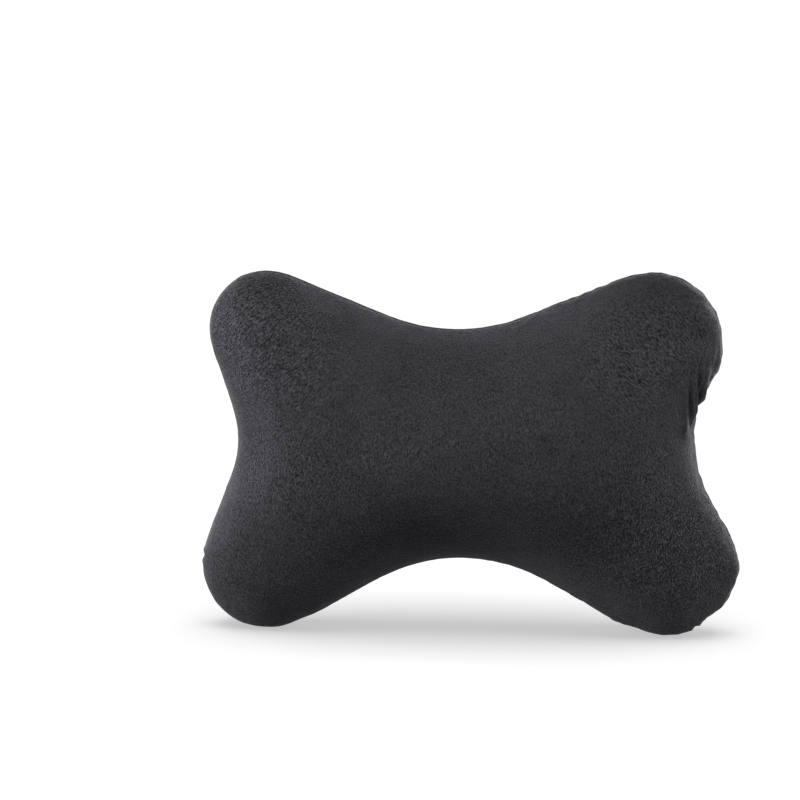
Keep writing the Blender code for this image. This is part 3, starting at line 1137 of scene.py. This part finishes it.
    def in_fan(self, vert: bmesh.types.BMVert) -> bool:
        """Whether a vertex lies where the creases fan out."""
        low, high, place = self.fan_low, self.fan_high, vert.co
        return low[0] < place.x < high[0] and low[1] < place.z < high[1] and place.y < self.fan_back

    def refine_fan(self, bag: bpy.types.Object) -> None:
        """Divides the faces where the creases fan out, so that their valleys stay crisp.

        Args:
            bag: The stuffed bag.
        """
        with edited(bag) as bm:
            chosen = [edge for edge in bm.edges if all(self.in_fan(vert) for vert in edge.verts)]
            bmesh.ops.subdivide_edges(bm, edges=chosen, cuts=2, smooth=1.0, use_grid_fill=True)

    def sculpt(self, bag: bpy.types.Object, bed: StrapBed) -> None:
        """Presses ripples, creases, dents, the seam, the strap's bed and the feet into the bag.

        Args:
            bag: The bag, cut along its seam.
            bed: Where the strap presses the back in.
        """
        points, normals = points_of(bag.data), normals_of(bag.data)
        stand = self.pile_stand * self.near_seam(points, self.stand_reach)
        points = points + stand[:, None] * normals
        flat = points[:, [0, 2]]
        inwards = self.ripple * soft_noise(points, self.ripple_pitch)
        inwards = inwards + self.pile * soft_noise(points, self.pile_pitch, seed=7.0)
        creased = self.creased.eased(points[:, 1])
        for crease in self.creases:
            inwards = inwards + crease.depth * creased * crease.shape(flat)
        for dent in self.dents:
            inwards = inwards + dent.depth * dent.shape(flat)
        on_right = self.edge_right.eased(points[:, 0])
        rough = self.edge_rough * self.near_seam(points, self.edge_reach) * on_right
        inwards = inwards + rough * soft_noise(points, self.edge_pitch, seed=21.0)
        points = points - inwards[:, None] * normals
        points = bed.press(points)
        points = self.sink_seam(points, normals)
        points[:, 2] = np.maximum(points[:, 2], FLOOR_LEVEL)
        place_points(bag.data, points)

    @staticmethod
    def near_seam(points: np.ndarray, reach: float) -> np.ndarray:
        """1 at the seam's plane, fading over the given reach on both sides of it."""
        return np.exp(-((points[:, 1] / reach) ** 2))

    def sink_seam(self, points: np.ndarray, normals: np.ndarray) -> np.ndarray:
        """Draws the plush in to the seam, a little unevenly, between two rolled edges.

        Args:
            points: The bag's vertices.
            normals: Their normals.

        Returns:
            The vertices, moved.
        """
        near = np.clip(1.0 - abs(points[:, 1]) / self.seam_width, 0.0, 1.0)
        uneven = np.zeros(len(points))
        at_seam = near > 0
        uneven[at_seam] = self.seam_uneven * soft_noise(points[at_seam], self.seam_pitch, seed=3.0)
        outwards = normals * np.array([1.0, 0.0, 1.0])
        outwards = outwards / np.maximum(np.linalg.norm(outwards, axis=1, keepdims=True), 1e-9)
        sunk = self.seam_sink * (1.0 + uneven) * near**self.seam_fall
        return points - sunk[:, None] * outwards

    def painted_rim_highlight(self, points: np.ndarray) -> np.ndarray:
        """A painted highlight along the seam, for the light that the plush catches at its edge: most at the
        foot and the ends.

        Args:
            points: A panel's vertices.

        Returns:
            One share for each point.
        """
        under_top = self.rim_under_top.eased(points[:, 2])
        ends = self.rim_at_ends * self.rim_ends.eased(abs(points[:, 0]))
        foot = self.rim_at_foot * self.rim_foot.eased(points[:, 2])
        strength = self.rim_everywhere + np.maximum(ends, foot)
        return self.near_seam(points, self.rim_reach) * under_top * strength

    def paint(self, panel: bpy.types.Object) -> None:
        """Paints on a panel its painted highlights and painted shade, its lighter and darker nap, and how
        strong its grain is.

        Args:
            panel: The panel to paint.
        """
        points = points_of(panel.data)
        flat = points[:, [0, 2]]
        # Painted highlight along the seam, strongest at the foot and the ends.
        lift, grain = self.rim_highlight * self.painted_rim_highlight(points), np.ones(len(points))
        creased, shaded = self.creased.eased(points[:, 1]), self.shaded.eased(points[:, 1])
        # Painted shade in the creases' valleys and painted highlights on their ridges.
        for crease in self.creases:
            lift = lift - crease.shade * creased * crease.shape(flat)
        # Painted shade in the dents.
        for dent in self.dents:
            lift = lift - dent.shade * shaded * dent.shape(flat)
        # The patches paint nap tone, painted shade and painted highlights, and the grain's strength.
        for patch in self.patches:
            lift = lift + patch.lift * patch.shape(flat)
            grain = grain + patch.grain * patch.shape(flat)
        for name, values in (("painted_light_and_tone", lift), ("pile_grain", grain)):
            layer = panel.data.attributes.new(name, "FLOAT", "POINT")
            layer.data.foreach_set("value", values.astype(np.float32))

    def panel(self, bag: bpy.types.Object, side: Side) -> bpy.types.Object:
        """Cuts one panel from the bag, turns its seam allowance in and gives it its thickness.

        Args:
            bag: The shaped bag.
            side: Which half to take.

        Returns:
            The panel, as a closed shell.
        """
        bm = bmesh.new()
        bm.from_mesh(bag.data)
        cut_by_seam(bm, side, drop_outer=True)
        edges = [edge for edge in bm.edges if edge.is_boundary]
        for vert in {vert for edge in edges for vert in edge.verts}:
            vert.co.y = side.value * self.seam_gap
        bm.normal_update()
        inwards = self.seam_inwards(edges)
        grown = bmesh.ops.extrude_edge_only(bm, edges=edges)["geom"]
        for vert in [item for item in grown if isinstance(item, bmesh.types.BMVert)]:
            beside = [edge.other_vert(vert) for edge in vert.link_edges]
            root = next(other for other in beside if other in inwards)
            vert.co = root.co + inwards[root] * self.allowance
            vert.co.y += self.allowance_lean
            vert.co.z = max(vert.co.z, self.thickness)
        bmesh.ops.recalc_face_normals(bm, faces=bm.faces)
        panel = object_from(bm, f"{side.name.lower()}_plush")
        face_side(panel, side)
        shell = panel.modifiers.new("plush_thickness", "SOLIDIFY")
        shell.thickness = self.thickness
        shell.offset = -1.0
        shell.use_even_offset = False
        apply_modifiers(panel)
        panel.data.shade_smooth()
        self.paint(panel)
        return panel

    @staticmethod
    def seam_inwards(edges: list[bmesh.types.BMEdge]) -> dict[bmesh.types.BMVert, Vector]:
        """Walks round the seam and finds the way into the pillow at each of its vertices.

        Args:
            edges: The seam's edges, one closed loop.

        Returns:
            A unit vector in the seam's plane for each vertex.
        """
        seam = set(edges)
        loop = [edges[0].verts[0], edges[0].verts[1]]
        while True:
            onward = next(edge.other_vert(loop[-1]) for edge in loop[-1].link_edges
                          if edge in seam and edge.other_vert(loop[-1]) is not loop[-2])
            if onward is loop[0]:
                break
            loop.append(onward)
        pairs = zip(loop, loop[1:] + loop[:1])
        area = sum(here.co.x * after.co.z - after.co.x * here.co.z for here, after in pairs)
        turn = math.copysign(1.0, area)
        inwards = {}
        for index, vert in enumerate(loop):
            run = loop[(index + 4) % len(loop)].co - loop[index - 4].co
            inwards[vert] = Vector((-run.z * turn, 0.0, run.x * turn)).normalized()
        return inwards


@dataclass
class FibreFilling:
    """The loose fibre, grooved round its edge by the seam, which follows the bag and lies in soft lumps.

    Attributes:
        lump: The depth of its lumps.
        lump_pitch: Their size.
        tuft: The depth of its small tufts.
        tuft_pitch: Their size.
        clearance: How far under the cloth it stays.
        foot_gap: How far above the ground it stays, on the cloth.
    """

    lump: float = 0.0014
    lump_pitch: float = 0.016
    tuft: float = 0.0005
    tuft_pitch: float = 0.004
    clearance: float = 0.0004
    foot_gap: float = 0.0023

    def build(self, bag: StuffedBag) -> bpy.types.Object:
        """Makes the filling.

        Args:
            bag: The stuffed bag, for how far its cloth moved.

        Returns:
            The filling.
        """
        bm = bmesh.new()
        bm.from_mesh(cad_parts["fibre_filling"].data)
        bmesh.ops.remove_doubles(bm, verts=bm.verts, dist=1e-5)
        bmesh.ops.subdivide_edges(bm, edges=bm.edges, cuts=1, use_grid_fill=True)
        bmesh.ops.recalc_face_normals(bm, faces=bm.faces)
        filling = object_from(bm, "loose_fibre")
        near = KDTree(len(bag.started))
        for index, place in enumerate(bag.started):
            near.insert(Vector(place), index)
        near.balance()
        points, normals = points_of(filling.data), normals_of(filling.data)
        follow = np.array([bag.moved[near.find(Vector(place))[1]] for place in points])
        lumps = self.lump * (1.0 + soft_noise(points, self.lump_pitch, seed=11.0)) / 2
        tufts = self.tuft * (1.0 + soft_noise(points, self.tuft_pitch, seed=5.0)) / 2
        points = points + follow - (self.clearance + lumps + tufts)[:, None] * normals
        points[:, 2] = np.maximum(points[:, 2], FLOOR_LEVEL + self.foot_gap)
        place_points(filling.data, points)
        return filling


@dataclass
class HeadrestStrap:
    """The flat elastic band across the back, with ribbed webbing and its two ends sewn down.

    Attributes:
        width: The webbing's.
        thickness: The webbing's.
        rib_pitch: How far apart the ribs are.
        rib_height: How high they stand above the webbing's middle, and how deep the grooves are.
        edge_ease: How far from its edges the ribs fade.
        columns: How many faces it has along its length.
        rows: How many it has across its width.
        stitch_length: A stitch's.
        stitch_gap: How far apart the stitches of a row are.
        stitch_radius: Half of the thread's thickness.
        stitch_stand: How far above the ribs the thread's middle lies, in radii.
        stitch_dip: How much lower its ends lie.
        stitch_inset: How far from the edges the rows run.
        box_length: How far the sewn box reaches along the strap.
    """

    width: float = 0.025
    thickness: float = 0.0015
    rib_pitch: float = 0.00156
    rib_height: float = 0.00016
    edge_ease: float = 0.0012
    columns: int = 190
    rows: int = 96
    stitch_length: float = 0.0026
    stitch_gap: float = 0.0008
    stitch_radius: float = 0.00028
    stitch_stand: float = 0.8
    stitch_dip: float = 0.0002
    stitch_inset: float = 0.003
    box_length: float = 0.012

    def band(self, bed: StrapBed) -> bpy.types.Object:
        """Makes the webbing.

        Args:
            bed: Where the strap lies.

        Returns:
            The band, as a closed solid.
        """
        bm = bmesh.new()
        bmesh.ops.create_grid(bm, x_segments=self.columns, y_segments=self.rows, size=1.0)
        middle = (bed.low + bed.high) / 2
        for vert in bm.verts:
            across = vert.co.y * self.width / 2
            x = bed.left + (vert.co.x + 1.0) / 2 * (bed.right - bed.left)
            edge = smooth_step(np.array((self.width / 2 - abs(across)) / self.edge_ease))
            rib = self.rib_height * math.cos(2 * math.pi * across / self.rib_pitch) * float(edge)
            y = float(bed.line(x)) + self.thickness + rib
            vert.co = Vector((x, y, middle + across))
        bmesh.ops.recalc_face_normals(bm, faces=bm.faces)
        band = object_from(bm, "strap_band")
        face_side(band, Side.BACK)
        body = band.modifiers.new("webbing_thickness", "SOLIDIFY")
        body.thickness = self.thickness - self.rib_height
        body.offset = -1.0
        apply_modifiers(band)
        band.data.shade_smooth()
        return band

    def stitch_lines(self, bed: StrapBed) -> list[tuple[Vector, Vector]]:
        """The straight rows that sew both ends down, as a box each.

        Args:
            bed: Where the strap lies.

        Returns:
            The two ends of each row, as x and z.
        """
        lines = []
        low, high = bed.low + self.stitch_inset, bed.high - self.stitch_inset
        for end, turn in ((bed.left, 1.0), (bed.right, -1.0)):
            near = end + turn * self.stitch_inset
            far = end + turn * (self.stitch_inset + self.box_length)
            corners = [Vector((near, low)), Vector((near, high)), Vector((far, high)), Vector((far, low))]
            lines += [(corners[i], corners[(i + 1) % 4]) for i in range(4)]
            lines += [(corners[0], corners[2]), (corners[1], corners[3])]
        return lines

    def stitching(self, bed: StrapBed) -> bpy.types.Object:
        """Makes the thread that holds the ends.

        Args:
            bed: Where the strap lies.

        Returns:
            All stitches as one object.
        """
        bm = bmesh.new()
        for start, end in self.stitch_lines(bed):
            run = end - start
            count = max(1, int(run.length / (self.stitch_length + self.stitch_gap)))
            for number in range(count):
                at = start + run * ((number + 0.5) / count)
                self.add_stitch(bm, bed, at, run.normalized())
        return object_from(bm, "strap_stitching")

    def add_stitch(self, bm: bmesh.types.BMesh, bed: StrapBed, at: Vector, run: Vector) -> None:
        """Adds one stitch, lying on the band's face and dipping in at both ends.

        Args:
            bm: The bmesh to add to.
            bed: Where the strap lies.
            at: The stitch's middle, as x and z.
            run: The way that it runs, as x and z.
        """
        made = bmesh.ops.create_uvsphere(bm, u_segments=8, v_segments=6, radius=1.0)["verts"]
        for vert in made:
            along = vert.co.z * self.stitch_length / 2
            aside = vert.co.x * self.stitch_radius
            x = at.x + along * run.x - aside * run.y
            z = at.y + along * run.y + aside * run.x
            top = float(bed.line(x)) + self.thickness + self.rib_height
            dip = self.stitch_dip * (along / (self.stitch_length / 2)) ** 2
            y = top + self.stitch_stand * self.stitch_radius - dip + vert.co.y * self.stitch_radius
            vert.co = Vector((x, y, z))
        bmesh.ops.recalc_face_normals(bm, faces=list({face for vert in made for face in vert.link_faces}))


# Studio


@dataclass(frozen=True)
class SoftBox:
    """A square soft light that faces the pillow.

    Attributes:
        name: The light's name.
        place: Where it hangs.
        size: Its side.
        power: Its power, in watts.
        lit: What it shines on.
    """

    name: str
    place: tuple[float, float, float]
    size: float
    power: float
    lit: Lit


@dataclass
class Studio:
    """A pale floor, one soft light over it, five round the pillow, and the camera at the photograph's angle.

    Attributes:
        azimuth: The camera's turn about the pillow, in degrees.
        elevation: Its tilt down to the pillow, in degrees.
        distance: How far away it is.
        lens: Its focal length, in millimetres.
        target: The middle of the pillow.
        left_of_target: How far to the left of it the camera aims.
        over_target: How far above it the camera aims.
        seen_white: How bright the room is to the camera.
        room_light: How bright it is to the pillow and the floor.
        floor_reach: Half of the floor's side.
        sensor: The width of the camera's sensor, in millimetres.
        boxes: The lights. Those behind give the plush its thin bright rims.
    """

    azimuth: float = 4.5
    elevation: float = 10.0
    distance: float = 2.0
    lens: float = 170.6
    target: tuple[float, float, float] = (0.0, 0.0, 0.098)
    left_of_target: float = 0.0363
    over_target: float = 0.0247
    seen_white: float = 1.05
    room_light: float = 0.24
    floor_reach: float = 0.6
    sensor: float = 36.0
    boxes: tuple[SoftBox, ...] = (
        SoftBox("top_light", (0.0, -0.05, 1.9), 1.9, 31.0, Lit.FLOOR),
        SoftBox("front_light", (-0.25, -1.50, 1.45), 1.2, 92.0, Lit.PILLOW),
        SoftBox("left_light", (-1.7, -0.3, 0.5), 0.8, 42.0, Lit.PILLOW),
        SoftBox("right_light", (1.7, 0.1, 0.40), 0.7, 17.0, Lit.PILLOW),
        SoftBox("left_back_light", (-1.00, 1.50, 0.15), 0.6, 48.0, Lit.PILLOW),
        SoftBox("right_back_light", (1.00, 1.50, 0.15), 0.6, 75.0, Lit.PILLOW),
    )

    def axes(self) -> tuple[Vector, Vector, Vector]:
        """The camera's right, up and backward directions."""
        turn, tilt = math.radians(self.azimuth), math.radians(self.elevation)
        back = Vector((math.sin(turn) * math.cos(tilt), -math.cos(turn) * math.cos(tilt), math.sin(tilt)))
        right = Vector((math.cos(turn), math.sin(turn), 0.0))
        return right, back.cross(right), back

    def camera(self) -> None:
        """Sets the camera up."""
        right, up, back = self.axes()
        place = Vector(self.target) + back * self.distance
        aim = Vector(self.target) - right * self.left_of_target + up * self.over_target
        data = bpy.data.cameras.new("camera")
        data.lens = self.lens
        data.sensor_width = self.sensor
        obj = bpy.data.objects.new("camera", data)
        obj.location = place
        obj.rotation_euler = (aim - place).to_track_quat("-Z", "Y").to_euler()
        bpy.context.scene.collection.objects.link(obj)
        bpy.context.scene.camera = obj

    def hang(self, box: SoftBox) -> bpy.types.Object:
        """Hangs a light.

        Args:
            box: The light's sizes and place.

        Returns:
            The light.
        """
        data = bpy.data.lights.new(box.name, "AREA")
        data.shape = "SQUARE"
        data.size = box.size
        data.energy = box.power
        obj = bpy.data.objects.new(box.name, data)
        obj.location = box.place
        obj.rotation_euler = (Vector(self.target) - Vector(box.place)).to_track_quat("-Z", "Y").to_euler()
        bpy.context.scene.collection.objects.link(obj)
        return obj

    def floor(self) -> bpy.types.Object:
        """Lays the floor.

        Returns:
            The floor.
        """
        bm = bmesh.new()
        bmesh.ops.create_grid(bm, x_segments=1, y_segments=1, size=self.floor_reach)
        floor = object_from(bm, "studio_floor")
        floor.data.materials.append(FloorFinish().material())
        return floor

    def world(self) -> None:
        """Fills the room with even soft light, and shows the camera plain white."""
        world = bpy.data.worlds.new("white_room")
        world.use_nodes = True
        background = world.node_tree.nodes["Background"]
        background.inputs["Color"].default_value = (1.0, 1.0, 1.0, 1.0)
        nodes, links = world.node_tree.nodes, world.node_tree.links
        strength = nodes.new("ShaderNodeMath")
        strength.operation = "MULTIPLY_ADD"
        strength.inputs[1].default_value = self.seen_white - self.room_light
        strength.inputs[2].default_value = self.room_light
        links.new(nodes.new("ShaderNodeLightPath").outputs["Is Camera Ray"], strength.inputs[0])
        links.new(strength.outputs[0], background.inputs["Strength"])
        bpy.context.scene.world = world

    def lights(self, floor: bpy.types.Object, pieces: list[bpy.types.Object]) -> None:
        """Hangs the lights: one overhead for the floor and its soft shadow, and the others for the pillow.

        Args:
            floor: The floor.
            pieces: The pillow's pieces.
        """
        groups = {}
        for lit, objects in ((Lit.FLOOR, [floor]), (Lit.PILLOW, pieces)):
            groups[lit] = bpy.data.collections.new(lit.value)
            for obj in objects:
                groups[lit].objects.link(obj)
        for box in self.boxes:
            self.hang(box).light_linking.receiver_collection = groups[box.lit]

    def build(self, pieces: list[bpy.types.Object]) -> None:
        """Sets up the whole studio.

        Args:
            pieces: The pillow's pieces.
        """
        self.world()
        self.lights(self.floor(), pieces)
        self.camera()
        bpy.context.scene.view_settings.view_transform = "Standard"


@dataclass
class NeckPillow:
    """The whole pillow, built in the order in which it is sewn."""

    bag: StuffedBag = field(default_factory=StuffedBag)
    cover: PlushCover = field(default_factory=PlushCover)
    filling: FibreFilling = field(default_factory=FibreFilling)
    strap: HeadrestStrap = field(default_factory=HeadrestStrap)

    def dress(
        self, obj: bpy.types.Object, material: bpy.types.Material, slot: str, *nodes: str
    ) -> bpy.types.Object:
        """Gives a piece its finish and its place in the frame.

        Args:
            obj: The piece.
            material: Its finish.
            slot: The record's material slot. It is not used.
            nodes: The frame's nodes that it stands for.

        Returns:
            The piece.
        """
        obj.data.materials.clear()
        obj.data.materials.append(material)
        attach(obj, "root")
        if nodes:
            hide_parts(*nodes)
        LOG.info("%s: %d faces", obj.name, len(obj.data.polygons))
        return obj

    def build(self) -> list[bpy.types.Object]:
        """Builds and dresses all pieces.

        Returns:
            The pieces.
        """
        bed = StrapBed.under_strap()
        stuffed = self.bag.build()
        panels = self.cover.build(stuffed, bed)
        plush = PlushFinish().material()
        front = self.dress(panels[Side.FRONT], plush, "plush", "front_panel")
        back = self.dress(panels[Side.BACK], plush, "plush", "back_panel")
        fibre = FibreFinish().material()
        filling = self.dress(self.filling.build(self.bag), fibre, "fibre", "fibre_filling")
        elastic = ElasticFinish().material()
        band = self.dress(self.strap.band(bed), elastic, "elastic", "headrest_strap")
        stitching = self.dress(self.strap.stitching(bed), elastic, "elastic")
        return [front, back, filling, band, stitching]


def main() -> None:
    """Builds the pillow and the studio."""
    logging.basicConfig(level=logging.INFO, format="%(name)s: %(message)s")
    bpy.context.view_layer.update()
    pieces = NeckPillow().build()
    Studio().build(pieces)


if __name__ == "__main__":
    main()
